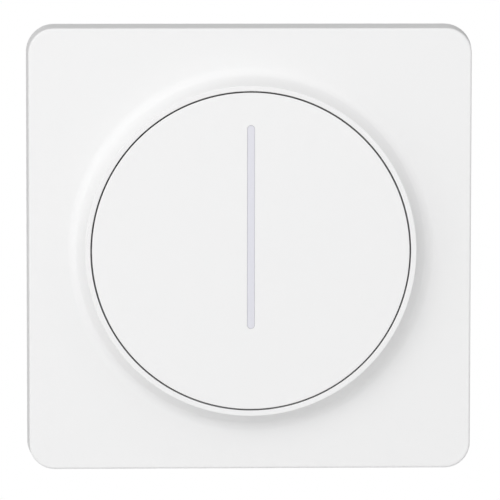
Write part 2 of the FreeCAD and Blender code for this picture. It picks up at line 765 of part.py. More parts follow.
def rearHousing():
    housing = Piece("rear_housing")
    outline = flatted(rearRadius, rearHalf, s.rear_foot)
    housing.pad(-s.rear_depth, 0, [outline])
    back = -float(s.rear_depth)
    housing.fillet(s.rear_corner, isUpright)
    housing.chamfer(s.rear_edge, lambda edge: atHeight(edge, back))
    wall = s.rear_wall
    housing.pocket(wall - s.rear_depth, 0,
                   [flatted(rearRadius - wall, rearHalf - wall, s.rear_foot - wall)])
    housing.pad(-s.post_depth, 0, circles=[(x, z, s.post_radius) for x, z in screwPlaces])
    housing.pocket(-s.post_depth, 0,
                   circles=[(x, z, s.screw_radius + s.screw_gap / 2) for x, z in screwPlaces])
    ledge = s.ledge_side
    ledgeX = rearHalf - wall - ledge / 2 + s.ledge_sunk
    housing.pad(wall / 2 - s.rear_depth, -powerBack,
                [centred(x, z, ledge, ledge) for x, z in corners(ledgeX, s.ledge_z)])
    entry = s.entry_side
    for x in terminalPlaces:
        housing.pocket(-s.rear_depth, wall - s.rear_depth, [centred(x, -s.cage_z, entry, entry)])
    deep = s.cage_length / 2 - cageEnd
    housing.side(-s.rear_foot - wall, wall - s.rear_foot,
                 circles=[(x, deep, s.driver_radius) for x in terminalPlaces], cut=True)
    ramps = []
    rise = s.ramp_length * sine(s.claw_angle)
    run = s.ramp_length * cosine(s.claw_angle)
    for way in (1, -1):
        for low, high in ((s.ramp_inner, s.ramp_inner + s.ramp_thick),
                          (-s.ramp_inner - s.ramp_thick, -s.ramp_inner)):
            foot, top = zRange(way, low - s.claw_screw_z, high - s.claw_screw_z)
            ramps.append(housing.side(foot, top, [[
                ((rearHalf - wall / 2) * way, -rampStart),
                (rearHalf * way, -rampStart),
                ((rearHalf + rise) * way, run - rampStart),
                ((rearHalf + rise) * way, run - rampStart + s.ramp_thick),
                ((rearHalf - wall / 2) * way, run - rampStart + rise),
            ]]))


def zRange(way, low, high):
    """A stretch along Z, turned half a turn about the face's axis where way is -1."""
    return (low, high) if way > 0 else (-high, -low)


# Claws: on each side a screw draws a nut forwards, and the nut draws a toothed claw up its ramps

def clawSet(side, way):
    lean, climb = sine(s.claw_angle), cosine(s.claw_angle)
    startX = rearHalf + s.claw_gap * climb
    startH = -rampStart - s.claw_gap * lean
    endX = startX + s.claw_leg * lean
    endH = startH + s.claw_leg * climb
    outX, outH = s.claw_sheet * climb, -s.claw_sheet * lean
    tipX = (s.claw_sheet + s.claw_tooth) * climb
    tipH = -(s.claw_sheet + s.claw_tooth) * lean
    claw = Piece(f"{side}_claw")
    for low, high in ((s.ramp_inner, s.ramp_inner + s.ramp_thick),
                      (-s.ramp_inner - s.ramp_thick, -s.ramp_inner)):
        foot, top = zRange(way, low - s.claw_screw_z, high - s.claw_screw_z)
        claw.side(foot, top, [[
            (startX * way, startH),
            (endX * way, endH),
            ((endX + tipX) * way, endH + tipH),
            ((endX + outX - s.claw_sheet * lean) * way, endH + outH - s.claw_sheet * climb),
            ((startX + outX) * way, startH + outH),
        ]])
    armFront = -rampStart - s.claw_gap
    armBack = armFront - s.claw_sheet
    reach = clawX + s.nut_side / 2 - s.claw_gap * 2
    half = s.ramp_inner + s.ramp_thick
    foot, top = zRange(way, -half - s.claw_screw_z, half - s.claw_screw_z)
    claw.pad(armBack, armFront, [slab(startX, reach, foot, top, way)])
    slot = s.claw_screw_radius + s.claw_gap
    foot, top = zRange(way, -slot - s.claw_screw_z, slot - s.claw_screw_z)
    claw.pocket(armBack, armFront, [slab(rearHalf - slot, clawX, foot, top, way)])
    x, z = clawX * way, -s.claw_screw_z * way
    claw.pocket(armBack, armFront, circles=[(x, z, slot)])
    nutFront = armBack - s.press_gap
    nut = block(f"{side}_claw_nut", x, z, nutFront - s.nut_height, nutFront, s.nut_side, s.nut_side)
    nut.pocket(nutFront - s.nut_height, nutFront,
               circles=[(x, z, s.claw_screw_radius + s.bush_gap)])
    screw = Piece(f"{side}_claw_screw")
    seat = frameTop + s.press_gap
    top = seat + s.claw_head_height
    screw.pad(s.claw_screw_clear - s.rear_depth, seat, circles=[(x, z, s.claw_screw_radius)])
    screw.pad(seat, top, circles=[(x, z, s.claw_head_radius)])
    screw.pocket(top - s.claw_slot_depth, top,
                 [centred(x, z, s.claw_head_radius * 2 + s.claw_gap, s.claw_slot_width)])


def slab(near, far, low, high, way):
    """A rectangle from near to far along X, turned half a turn with its z range where way is -1."""
    if way > 0:
        return rectangle(near, low, far, high)
    return rectangle(-far, low, -near, high)


# Power board and what it carries

def powerBoard():
    board = Piece("power_board")
    inset = s.rear_wall + s.power_gap
    board.pad(-powerBack, -s.power_front,
              [flatted(rearRadius - inset, rearHalf - inset, s.rear_foot - inset)])
    notch = (s.post_radius + s.power_gap) * 2
    board.pocket(-powerBack, -s.power_front, [centred(x, z, notch, notch) for x, z in screwPlaces])
    board.pocket(-powerBack, -s.power_front, pinHoles(s.screw_gap))
    side = s.lead_side + s.screw_gap * 2
    board.pocket(-powerBack, -s.power_front,
                 [centred(x, leadZ - s.lead_side / 2, side, side) for x in leadPlaces])


def heatPath():
    block("heat_plate", 0, s.heat_z, -s.heat_thick, 0, s.heat_width, s.heat_length)
    cases = Piece("transistors")
    back = -s.heat_thick - s.case_thick
    cases.pad(back, -s.heat_thick,
              [centred(x, s.heat_z, s.case_width, s.case_length) for x in casePlaces])
    lead, middle = s.lead_side, -s.heat_thick - s.case_thick / 2
    for x in leadPlaces:
        cases.across(x - lead / 2, x + lead / 2, [[
            (caseFoot, middle),
            (leadZ - lead, middle),
            (leadZ - lead, lead / 4 - powerBack),
            (leadZ, lead / 4 - powerBack),
            (leadZ, middle - lead),
            (caseFoot, middle - lead),
        ]])


def terminals():
    cages = Piece("terminal_cages")
    side, wall = s.cage_side, s.cage_wall
    front = s.cage_length - cageEnd
    cages.pad(-cageEnd, front, [centred(x, -s.cage_z, side, side) for x in terminalPlaces])
    hole = side - wall * 2
    cages.pocket(-cageEnd, front - wall, [centred(x, -s.cage_z, hole, hole) for x in terminalPlaces])
    tabZ = side / 2 - wall / 2 - s.cage_z
    cages.pad(front - wall, -powerBack, [centred(x, tabZ, side / 2, wall) for x in terminalPlaces])
    deep = s.cage_length / 2 - cageEnd
    foot = -s.cage_z - side / 2
    clamp = s.clamp_radius + s.clamp_gap
    cages.side(foot, foot + wall, circles=[(x, deep, clamp) for x in terminalPlaces], cut=True)
    screws = Piece("terminal_screws")
    screws.side(-s.rear_foot + s.rear_wall / 2, foot + wall * 2,
                circles=[(x, deep, s.clamp_radius) for x in terminalPlaces])


def powerParts():
    core = Piece("choke_core")
    x, z = -s.choke_x, s.choke_z
    top = -powerBack
    low = top - backRoom + s.choke_clear
    flange, neck, side = s.choke_flange, s.choke_neck, s.choke_side
    core.pad(top - flange, top, [centred(x, z, side, side)])
    core.pad(low + flange, top - flange, circles=[(x, z, neck)])
    core.pad(low, low + flange, [centred(x, z, side, side)])
    winding = Piece("choke_winding")
    winding.pad(low + flange, top - flange,
                circles=[(x, z, side / 2 - s.winding_inset), (x, z, neck)])
    can = Piece("electrolytic_capacitor")
    can.pad(top - backRoom + s.can_clear, top, circles=[(s.can_x, s.can_z, s.can_radius)])
    block("film_capacitor", s.film_x, s.film_z, top - backRoom + s.film_clear, top, s.film_width,
          s.film_depth)
    fuse = Piece("fuse")
    fuse.across(-s.fuse_x - s.fuse_length / 2, s.fuse_length / 2 - s.fuse_x,
                circles=[(-s.fuse_z, top - s.fuse_radius, s.fuse_radius)])
    varistor = Piece("varistor")
    varistor.side(s.varistor_z - s.varistor_thick / 2, s.varistor_z + s.varistor_thick / 2,
                  circles=[(-s.varistor_x, top - s.varistor_radius, s.varistor_radius)])
    block("supply_chip", s.supply_x, -s.fuse_z, top - s.supply_height, top, s.supply_width,
          s.supply_length)


def housingScrews():
    screws = Piece("housing_screws")
    screws.pad(-s.screw_depth, floorTop, circles=[(x, z, s.screw_radius) for x, z in screwPlaces])
    screws.pad(floorTop, floorTop + s.head_height,
               circles=[(x, z, s.screw_head) for x, z in screwPlaces])


coverPlate()
pressFace()
lightGuide()
returnSprings()
frontHousing()
lightBox()
ledRow()
controlBoard()
radioModule()
pushSwitch()
header()
supportFrame()
rearHousing()
powerBoard()
heatPath()
terminals()
powerParts()
housingScrews()
clawSet("right", 1)
clawSet("left", -1)

# Every object has to be sound before anything is written
for thing in doc.Objects:
    if "Invalid" in thing.State or "Error" in thing.State:
        raise ValueError(f"{thing.Label} is {thing.State}")
for node in nodes:
    if node.Shape.isNull() or not node.Shape.isValid():
        raise ValueError(f"{node.Label} has no sound shape")
for node in nodes:
    node.Shape.exportStep(f"parts/{node.Label}.step")
    print(f"{node.Label}: {len(node.Shape.Solids)} solid(s), {node.Shape.Volume:.1f} mm3")
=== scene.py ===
import json
import math

import bmesh
import bpy
from mathutils import Matrix, Vector


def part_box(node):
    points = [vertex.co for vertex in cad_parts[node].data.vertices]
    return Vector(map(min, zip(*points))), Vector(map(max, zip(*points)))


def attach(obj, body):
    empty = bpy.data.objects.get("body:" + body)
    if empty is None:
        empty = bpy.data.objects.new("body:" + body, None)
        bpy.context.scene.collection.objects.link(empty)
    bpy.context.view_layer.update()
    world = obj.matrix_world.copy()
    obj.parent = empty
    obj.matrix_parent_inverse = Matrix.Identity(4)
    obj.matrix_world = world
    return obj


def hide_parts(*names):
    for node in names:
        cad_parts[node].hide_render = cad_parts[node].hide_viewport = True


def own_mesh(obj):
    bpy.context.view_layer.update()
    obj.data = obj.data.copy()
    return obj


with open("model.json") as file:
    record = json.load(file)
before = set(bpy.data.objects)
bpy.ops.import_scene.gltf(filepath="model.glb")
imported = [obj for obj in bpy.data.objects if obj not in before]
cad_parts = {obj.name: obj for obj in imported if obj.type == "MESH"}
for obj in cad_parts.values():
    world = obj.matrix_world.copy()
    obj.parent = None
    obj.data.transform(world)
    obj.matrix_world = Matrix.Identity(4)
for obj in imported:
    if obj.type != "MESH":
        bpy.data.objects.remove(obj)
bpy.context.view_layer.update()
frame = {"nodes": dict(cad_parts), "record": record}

nodes = frame["nodes"]
mm = 0.001
print("frame loaded,", len(nodes), "nodes")

# The front of the dimmer faces -Y. A height is the distance out of the wall, so y is minus the height.


def at(x, z, height):
    return Vector((x, -height, z)) * mm


def arc(middle, height, radius, first, last, steps):
    # points of a profile, as (reach, height), along an arc between two angles in degrees
    angles = [math.radians(first + (last - first) * i / steps) for i in range(steps + 1)]
    return [(middle + radius * math.cos(a), height + radius * math.sin(a)) for a in angles]


def newGroup(name, inputs, outputs, kind="ShaderNodeTree"):
    group = bpy.data.node_groups.new(name, kind)
    for label, socketKind, value in inputs:
        socket = group.interface.new_socket(label, in_out="INPUT", socket_type=socketKind)
        if value is not None:
            socket.default_value = value
    for label, socketKind in outputs:
        group.interface.new_socket(label, in_out="OUTPUT", socket_type=socketKind)
    entry = group.nodes.new("NodeGroupInput")
    leave = group.nodes.new("NodeGroupOutput")
    return group, entry.outputs, leave.inputs


def addNode(tree, kind, values=None, **settings):
    node = tree.nodes.new(kind)
    for key, value in settings.items():
        setattr(node, key, value)
    for key, value in (values or {}).items():
        if isinstance(value, bpy.types.NodeSocket):
            tree.links.new(value, node.inputs[key])
        else:
            node.inputs[key].default_value = value
    return node


def mathNode(tree, operation, first, second):
    return addNode(tree, "ShaderNodeMath", {0: first, 1: second}, operation=operation).outputs[0]


# One shader group for each effect that several finishes share

grain = {"detail": 2.0, "softness": 0.55, "height": 0.00003, "cloudScale": 45.0, "cloudDetail": 3.0,
         "least": 0.3, "most": 0.7}
rolling = {"detail": 3.0, "height": 0.00002, "cloudScale": 260.0, "cloudDetail": 4.0,
           "least": 0.15, "most": 0.4}


def wander(group, given, mask, least, most):
    # the roughness, from its value less the spread to its value and the spread, as the mask rises
    low = mathNode(group, "SUBTRACT", given["Roughness"], given["Spread"])
    high = mathNode(group, "ADD", given["Roughness"], given["Spread"])
    return addNode(group, "ShaderNodeMapRange",
                   {"Value": mask, "From Min": least, "From Max": most, "To Min": low, "To Max": high})


def makeGrain():
    # fine moulded grain: a bump and a roughness that wanders a little
    group, given, result = newGroup(
        "mouldGrain",
        [("Grain Scale", "NodeSocketFloat", 9000.0), ("Depth", "NodeSocketFloat", 0.15),
         ("Roughness", "NodeSocketFloat", 0.45), ("Spread", "NodeSocketFloat", 0.06)],
        [("Roughness", "NodeSocketFloat"), ("Normal", "NodeSocketVector"), ("Mask", "NodeSocketFloat")])
    place = addNode(group, "ShaderNodeTexCoord").outputs["Object"]
    fine = addNode(group, "ShaderNodeTexNoise",
                   {"Vector": place, "Scale": given["Grain Scale"], "Detail": grain["detail"],
                    "Roughness": grain["softness"]})
    cloud = addNode(group, "ShaderNodeTexNoise",
                    {"Vector": place, "Scale": grain["cloudScale"], "Detail": grain["cloudDetail"]})
    bump = addNode(group, "ShaderNodeBump", {"Strength": given["Depth"], "Distance": grain["height"],
                                             "Height": fine.outputs["Fac"]})
    rough = wander(group, given, cloud.outputs["Fac"], grain["least"], grain["most"])
    group.links.new(rough.outputs["Result"], result["Roughness"])
    group.links.new(bump.outputs["Normal"], result["Normal"])
    group.links.new(cloud.outputs["Fac"], result["Mask"])
    return group


def makeRolled():
    # rolled or drawn metal: long fine lines along one axis and soft plated clouds
    group, given, result = newGroup(
        "rolledMetal",
        [("Line Scale", "NodeSocketVector", (400.0, 6000.0, 6000.0)), ("Depth", "NodeSocketFloat", 0.1),
         ("Roughness", "NodeSocketFloat", 0.35), ("Spread", "NodeSocketFloat", 0.08)],
        [("Roughness", "NodeSocketFloat"), ("Normal", "NodeSocketVector"), ("Mask", "NodeSocketFloat")])
    place = addNode(group, "ShaderNodeTexCoord").outputs["Object"]
    drawn = addNode(group, "ShaderNodeVectorMath", {0: place, 1: given["Line Scale"]}, operation="MULTIPLY")
    lines = addNode(group, "ShaderNodeTexNoise",
                    {"Vector": drawn.outputs["Vector"], "Scale": 1.0, "Detail": rolling["detail"]})
    cloud = addNode(group, "ShaderNodeTexNoise",
                    {"Vector": place, "Scale": rolling["cloudScale"], "Detail": rolling["cloudDetail"]})
    both = mathNode(group, "MULTIPLY", lines.outputs["Fac"], cloud.outputs["Fac"])
    bump = addNode(group, "ShaderNodeBump", {"Strength": given["Depth"], "Distance": rolling["height"],
                                             "Height": lines.outputs["Fac"]})
    rough = wander(group, given, both, rolling["least"], rolling["most"])
    group.links.new(rough.outputs["Result"], result["Roughness"])
    group.links.new(bump.outputs["Normal"], result["Normal"])
    group.links.new(cloud.outputs["Fac"], result["Mask"])
    return group


mouldGrain = makeGrain()
rolledMetal = makeRolled()

# base colours are linear; the second colour is where the mask is high
finishes = {
    "cover": {"group": mouldGrain, "colour": (0.872, 0.872, 0.872), "second": (0.866, 0.866, 0.868),
              "roughness": 0.78, "spread": 0.04, "depth": 0.10, "grain": 9000.0, "gloss": 0.12},
    "face": {"group": mouldGrain, "colour": (0.876, 0.876, 0.876), "second": (0.870, 0.870, 0.872),
             "roughness": 0.74, "spread": 0.04, "depth": 0.06, "grain": 12000.0, "gloss": 0.12},
    "light_guide": {"group": mouldGrain, "colour": (0.736, 0.733, 0.790), "second": (0.720, 0.722, 0.784),
                    "roughness": 0.24, "spread": 0.03, "depth": 0.03, "grain": 5000.0},
    "housing_grey": {"group": mouldGrain, "colour": (0.37, 0.375, 0.39), "second": (0.35, 0.355, 0.37),
                     "roughness": 0.5, "spread": 0.06, "depth": 0.25, "grain": 5200.0},
    "housing_black": {"group": mouldGrain, "colour": (0.028, 0.029, 0.032), "second": (0.036, 0.037, 0.04),
                      "roughness": 0.48, "spread": 0.08, "depth": 0.4, "grain": 4200.0},
    "box_white": {"group": mouldGrain, "colour": (0.80, 0.80, 0.80), "second": (0.77, 0.77, 0.77),
                  "roughness": 0.4, "spread": 0.05, "depth": 0.1, "grain": 7000.0},
    "board_green": {"group": mouldGrain, "colour": (0.012, 0.10, 0.035), "second": (0.02, 0.14, 0.05),
                    "roughness": 0.3, "spread": 0.06, "depth": 0.15, "grain": 2600.0, "coat": 0.4},
    "led": {"group": mouldGrain, "colour": (0.86, 0.80, 0.48), "second": (0.88, 0.84, 0.6),
            "roughness": 0.3, "spread": 0.03, "depth": 0.05, "grain": 9000.0, "coat": 0.3},
    "chip_black": {"group": mouldGrain, "colour": (0.018, 0.018, 0.02), "second": (0.026, 0.026, 0.028),
                   "roughness": 0.55, "spread": 0.08, "depth": 0.3, "grain": 9000.0},
    "switch_black": {"group": mouldGrain, "colour": (0.024, 0.024, 0.024), "second": (0.03, 0.03, 0.03),
                     "roughness": 0.5, "spread": 0.06, "depth": 0.2, "grain": 8000.0},
    "switch_red": {"group": mouldGrain, "colour": (0.30, 0.075, 0.02), "second": (0.34, 0.09, 0.03),
                   "roughness": 0.42, "spread": 0.05, "depth": 0.15, "grain": 9000.0},
    "ferrite": {"group": mouldGrain, "colour": (0.045, 0.045, 0.05), "second": (0.07, 0.07, 0.075),
                "roughness": 0.6, "spread": 0.1, "depth": 0.5, "grain": 3800.0},
    "film_yellow": {"group": mouldGrain, "colour": (0.60, 0.38, 0.03), "second": (0.64, 0.42, 0.05),
                    "roughness": 0.3, "spread": 0.05, "depth": 0.1, "grain": 7000.0},
    "can_sleeve": {"group": mouldGrain, "colour": (0.012, 0.018, 0.045), "second": (0.016, 0.024, 0.055),
                   "roughness": 0.26, "spread": 0.05, "depth": 0.08, "grain": 5000.0},
    "fuse_brown": {"group": mouldGrain, "colour": (0.13, 0.05, 0.02), "second": (0.16, 0.065, 0.03),
                   "roughness": 0.28, "spread": 0.05, "depth": 0.08, "grain": 5000.0},
    "varistor_blue": {"group": mouldGrain, "colour": (0.02, 0.07, 0.25), "second": (0.03, 0.09, 0.3),
                      "roughness": 0.4, "spread": 0.08, "depth": 0.35, "grain": 2600.0},
    "frame_steel": {"group": rolledMetal, "colour": (0.62, 0.62, 0.63), "second": (0.53, 0.54, 0.56),
                    "roughness": 0.34, "spread": 0.07, "depth": 0.2, "lines": (300.0, 5000.0, 7000.0)},
    "spring_steel": {"group": rolledMetal, "colour": (0.46, 0.46, 0.48), "second": (0.40, 0.41, 0.43),
                     "roughness": 0.26, "spread": 0.05, "depth": 0.15, "lines": (5000.0, 7000.0, 300.0)},
    "claw_steel": {"group": rolledMetal, "colour": (0.60, 0.56, 0.40), "second": (0.52, 0.50, 0.46),
                   "roughness": 0.32, "spread": 0.08, "depth": 0.15, "lines": (6000.0, 400.0, 6000.0)},
    "screw_steel": {"group": rolledMetal, "colour": (0.56, 0.56, 0.58), "second": (0.48, 0.49, 0.51),
                    "roughness": 0.3, "spread": 0.07, "depth": 0.1, "lines": (5000.0, 500.0, 5000.0)},
    "brass": {"group": rolledMetal, "colour": (0.66, 0.47, 0.17), "second": (0.58, 0.41, 0.15),
              "roughness": 0.3, "spread": 0.06, "depth": 0.12, "lines": (400.0, 6000.0, 6000.0)},
    "gold_pin": {"group": rolledMetal, "colour": (0.78, 0.53, 0.18), "second": (0.74, 0.50, 0.18),
                 "roughness": 0.2, "spread": 0.04, "depth": 0.05, "lines": (6000.0, 500.0, 6000.0)},
    "can_tin": {"group": rolledMetal, "colour": (0.63, 0.63, 0.65), "second": (0.58, 0.58, 0.61),
                "roughness": 0.25, "spread": 0.06, "depth": 0.1, "lines": (500.0, 6000.0, 6000.0)},
    "heat_aluminium": {"group": rolledMetal, "colour": (0.66, 0.67, 0.69), "second": (0.60, 0.61, 0.63),
                       "roughness": 0.38, "spread": 0.06, "depth": 0.25, "lines": (300.0, 6000.0, 6000.0)},
    "copper": {"group": rolledMetal, "colour": (0.58, 0.22, 0.09), "second": (0.50, 0.18, 0.08),
               "roughness": 0.22, "spread": 0.05, "depth": 0.05, "lines": (4000.0, 4000.0, 4000.0)},
}


def makeFinish(name, look):
    material = bpy.data.materials.new(name)
    material.use_nodes = True
    tree = material.node_tree
    shader = tree.nodes["Principled BSDF"]
    metal = look["group"] == rolledMetal
    values = {"Depth": look["depth"], "Roughness": look["roughness"], "Spread": look["spread"]}
    if metal:
        values["Line Scale"] = look["lines"]
    else:
        values["Grain Scale"] = look["grain"]
    effect = tree.nodes.new("ShaderNodeGroup")
    effect.node_tree = look["group"]
    for key, value in values.items():
        effect.inputs[key].default_value = value
    # the colour sockets of a Mix node come after its value and vector ones
    tint = addNode(tree, "ShaderNodeMix", {0: effect.outputs["Mask"], 6: (*look["colour"], 1.0),
                                           7: (*look["second"], 1.0)}, data_type="RGBA")
    tree.links.new(tint.outputs[2], shader.inputs["Base Color"])
    tree.links.new(effect.outputs["Roughness"], shader.inputs["Roughness"])
    tree.links.new(effect.outputs["Normal"], shader.inputs["Normal"])
    shader.inputs["Metallic"].default_value = 1.0 if metal else 0.0
    shader.inputs["Coat Weight"].default_value = look.get("coat", 0.0)
    shader.inputs["Specular IOR Level"].default_value = look.get("gloss", 0.5)
    return material


materials = {name: makeFinish(name, look) for name, look in finishes.items()}
slotOf = {row["node"]: row["material_slot"] for row in frame["record"]["subparts"]}
bodyOf = {node: body for body, group in frame["record"]["behaviour"]["bodies"].items() for node in group}
for name, thing in nodes.items():
    if not thing.material_slots:
        thing.data.materials.append(materials[slotOf[name]])
    for place in thing.material_slots:
        place.material = materials[slotOf[name]]
print("finishes made,", len(materials))


# Meshes: angles in degrees, the doubles' distances in metres and the overlap in mm

joining = {"doubles": 1e-7, "cadDoubles": 2e-6, "flatAngle": 0.3, "sharpAngle": 35.0, "overlap": 0.05}


def loft(mesh, rings, closed=False, capFirst=False, capLast=False):
    # joins rings of equally many points by quads
    rows = [[mesh.verts.new(point) for point in ring] for ring in rings]
    following = rows[1:] + rows[:1] if closed else rows[1:]
    for low, high in zip(rows, following):
        for i in range(len(low)):
            j = (i + 1) % len(low)
            mesh.faces.new((low[i], low[j], high[j], high[i]))
    if capFirst:
        mesh.faces.new(rows[0])
    if capLast:
        mesh.faces.new(rows[-1])


def finishPiece(name, mesh, standsFor):
    # closes a bmesh off as a smooth-shaded piece that stands for one CAD node
    bmesh.ops.remove_doubles(mesh, verts=mesh.verts, dist=joining["doubles"])
    bmesh.ops.recalc_face_normals(mesh, faces=mesh.faces)
    data = bpy.data.meshes.new(name)
    mesh.to_mesh(data)
    mesh.free()
    return showPiece(name, shaded(data), standsFor)


def shaded(data):
    data.shade_smooth()
    data.set_sharp_from_angle(angle=math.radians(joining["sharpAngle"]))
    return data


def showPiece(name, data, standsFor):
    piece = bpy.data.objects.new(name, data)
    bpy.context.scene.collection.objects.link(piece)
    data.materials.clear()
    data.materials.append(materials[slotOf[standsFor]])
    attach(piece, bodyOf[standsFor])
    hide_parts(standsFor)
    return piece


def nodeCopy(node):
    # a CAD node's mesh with its loose triangles merged and its flat faces made whole
    mesh = bmesh.new()
    mesh.from_mesh(nodes[node].data)
    bmesh.ops.remove_doubles(mesh, verts=mesh.verts, dist=joining["cadDoubles"])
    bmesh.ops.dissolve_limit(mesh, angle_limit=math.radians(joining["flatAngle"]), verts=mesh.verts,
                             edges=mesh.edges)
    return mesh


def islands(mesh):
    left = set(mesh.verts)
    while left:
        group, queue = set(), [left.pop()]
        while queue:
            vert = queue.pop()
            group.add(vert)
            for edge in vert.link_edges:
                other = edge.other_vert(vert)
                if other in left:
                    left.discard(other)
                    queue.append(other)
        yield group


def behind(mesh, node, height, widest):
    # adds what a CAD node has behind a height and no wider than widest, as closed solids that reach a
    # little into what carries them
    copied = nodeCopy(node)
    geometry = list(copied.verts) + list(copied.edges) + list(copied.faces)
    cut = bmesh.ops.bisect_plane(copied, geom=geometry, plane_co=at(0, 0, height), plane_no=(0, -1, 0),
                                 clear_outer=True)
    rim = [item for item in cut["geom_cut"] if isinstance(item, bmesh.types.BMEdge)]
    bmesh.ops.triangle_fill(copied, use_beauty=True, edges=rim)
    top = at(0, 0, height).y
    for vert in copied.verts:
        if abs(vert.co.y - top) < joining["doubles"]:
            vert.co.y -= joining["overlap"] * mm
    for group in list(islands(copied)):
        spans = [max(v.co[axis] for v in group) - min(v.co[axis] for v in group) for axis in (0, 2)]
        if max(spans) > widest * mm:
            bmesh.ops.delete(copied, geom=list(group), context="VERTS")
    data = bpy.data.meshes.new(node + "_behind")
    copied.to_mesh(data)
    copied.free()
    mesh.from_mesh(data)
    bpy.data.meshes.remove(data)


# Cover plate: sizes in mm, its slope in degrees, and how many steps its curves get

plateLow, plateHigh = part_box("cover_plate")
cover = {
    "half": plateHigh.x / mm, "draft": 0.5, "corner": 5.3, "crownTop": -plateLow.y / mm, "height": 7.0,
    "skin": 2.0, "wall": 2.5, "edge": 0.45, "footEdge": 0.12, "hole": 30.35, "rim": 1.05,
    "rimEdge": 0.15, "slope": 65.0, "blend": 2.2, "lipDepth": 3.6, "lipThick": 1.25, "crownWall": 1.55,
    "support": 0.06, "sideSteps": 60, "cornerSteps": 14, "spread": 7, "rimSteps": 5, "footSteps": 16,
    "edgeSteps": 7, "slopeShares": (0.1, 0.5, 0.9), "hookWidest": 12.0,
}


def squareOutline(inset):
    # a rounded square inside the plate's outline, its points in line with those of every other outline
    flat = cover["half"] - cover["corner"]
    radius = cover["corner"] - inset
    widest = math.atan2(flat, cover["half"])
    points = []
    for turn in range(4):
        side = [widest * (2 * i / cover["sideSteps"] - 1) for i in range(cover["sideSteps"])]
        quarter = [(flat + radius, flat * math.tan(a) / math.tan(widest)) for a in side]
        corner = [math.pi / 2 * i / cover["cornerSteps"] for i in range(cover["cornerSteps"])]
        quarter += [(flat + radius * math.cos(a), flat + radius * math.sin(a)) for a in corner]
        cosTurn, sinTurn = [(1, 0), (0, 1), (-1, 0), (0, -1)][turn]
        points += [(x * cosTurn - z * sinTurn, x * sinTurn + z * cosTurn) for x, z in quarter]
    return points


def roundOutline(radius):
    # a circle whose points lie in the directions of the square outline's points
    return [(radius * math.cos(a), radius * math.sin(a))
            for a in (math.atan2(z, x) for x, z in squareOutline(0))]


def mixOutlines(first, last, share):
    return [(a[0] + (b[0] - a[0]) * share, a[1] + (b[1] - a[1]) * share) for a, b in zip(first, last)]


def makeCoverPlate():
    c = cover
    top, front, back = c["crownTop"], c["height"], c["height"] - c["skin"]
    rimOut = c["hole"] + c["rim"]
    slope = math.radians(c["slope"])
    drop = top - front - c["blend"] * (1 - math.cos(slope))
    slopeOut = rimOut + drop / math.tan(slope)
    foot = slopeOut + c["blend"] * math.sin(slope)
    lipBack = top - c["lipDepth"]
    e = c["rimEdge"]
    # the ring's profile, from the lip's back edge over the rim and down the slope to the plate
    turned = [(c["hole"], lipBack), (c["hole"], top - e - c["support"])]
    turned += arc(c["hole"] + e, top - e, e, 180, 90, c["rimSteps"])
    turned += [(c["hole"] + e + c["support"], top), (rimOut - e - c["support"], top)]
    turned += arc(rimOut - e, top - e, e, 90, 90 - c["slope"], c["rimSteps"])
    reach, height = turned[-1]
    for share in c["slopeShares"]:
        turned.append((reach + (slopeOut - reach) * share, height + (top - drop - height) * share))
    turned += arc(foot, front + c["blend"], c["blend"], 270 - c["slope"], 270, c["footSteps"])
    rings = [[at(x, z, height) for x, z in roundOutline(reach)] for reach, height in turned]
    # the flat front, then the soft edge, the drafted side and the foot
    inner, outer = roundOutline(foot + c["support"]), squareOutline(c["draft"] + c["edge"] + c["support"])
    for i in range(c["spread"] + 1):
        rings.append([at(x, z, front) for x, z in mixOutlines(inner, outer, i / c["spread"])])
    lean = c["draft"] / front
    edgeInset = lean * (front - c["edge"]) + c["edge"]
    for reach, height in arc(0, front - c["edge"], c["edge"], 90, 0, c["edgeSteps"]):
        rings.append([at(x, z, height) for x, z in squareOutline(edgeInset - reach)])
    for height in (front - c["edge"] - c["support"], c["footEdge"] + c["support"], c["footEdge"]):
        rings.append([at(x, z, height) for x, z in squareOutline(lean * height)])
    for inset in (c["footEdge"], c["footEdge"] + c["support"], c["wall"]):
        rings.append([at(x, z, 0) for x, z in squareOutline(inset)])
    # the inside: up the wall, over the skin's back and up the ring's hollow back to the lip
    for height in (back - c["footEdge"], back):
        rings.append([at(x, z, height) for x, z in squareOutline(c["wall"])])
    inner, outer = roundOutline(foot - c["crownWall"]), squareOutline(c["wall"])
    for i in range(1, c["spread"] + 1):
        rings.append([at(x, z, back) for x, z in mixOutlines(outer, inner, i / c["spread"])])
    rings.append([at(x, z, lipBack) for x, z in roundOutline(c["hole"] + c["lipThick"])])
    mesh = bmesh.new()
    loft(mesh, rings, closed=True)
    behind(mesh, "cover_plate", back, c["hookWidest"])
    return finishPiece("coverPlate", mesh, "cover_plate")


coverPlate = makeCoverPlate()
print("cover plate,", len(coverPlate.data.polygons), "faces")

# Press face, with its slot for the light bar: sizes in mm, with the end's spread in degrees

faceLow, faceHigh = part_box("press_face")
face = {
    "stopRadius": faceHigh.x / mm, "stopReach": 1.15, "stopThick": 1.0, "stopGap": 0.3,
    "top": -faceLow.y / mm, "skin": 2.0, "edge": 0.18, "skirt": 1.5, "slotGap": 0.02, "slotEdge": 0.04,
    "support": 0.05, "backFillet": 0.5, "endSteps": 28, "sideSteps": 96, "endSpread": 10.0, "spread": 4,
    "edgeSteps": 6, "filletSteps": 4, "widestRib": 50.0,
}
guideLow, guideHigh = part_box("light_guide")
bar = {
    "width": 1.4, "length": 38.6, "rise": (guideLow.z + guideHigh.z) / 2 / mm, "recess": 0.1,
    "edge": 0.07, "edgeSteps": 4, "back": 9.4,
}


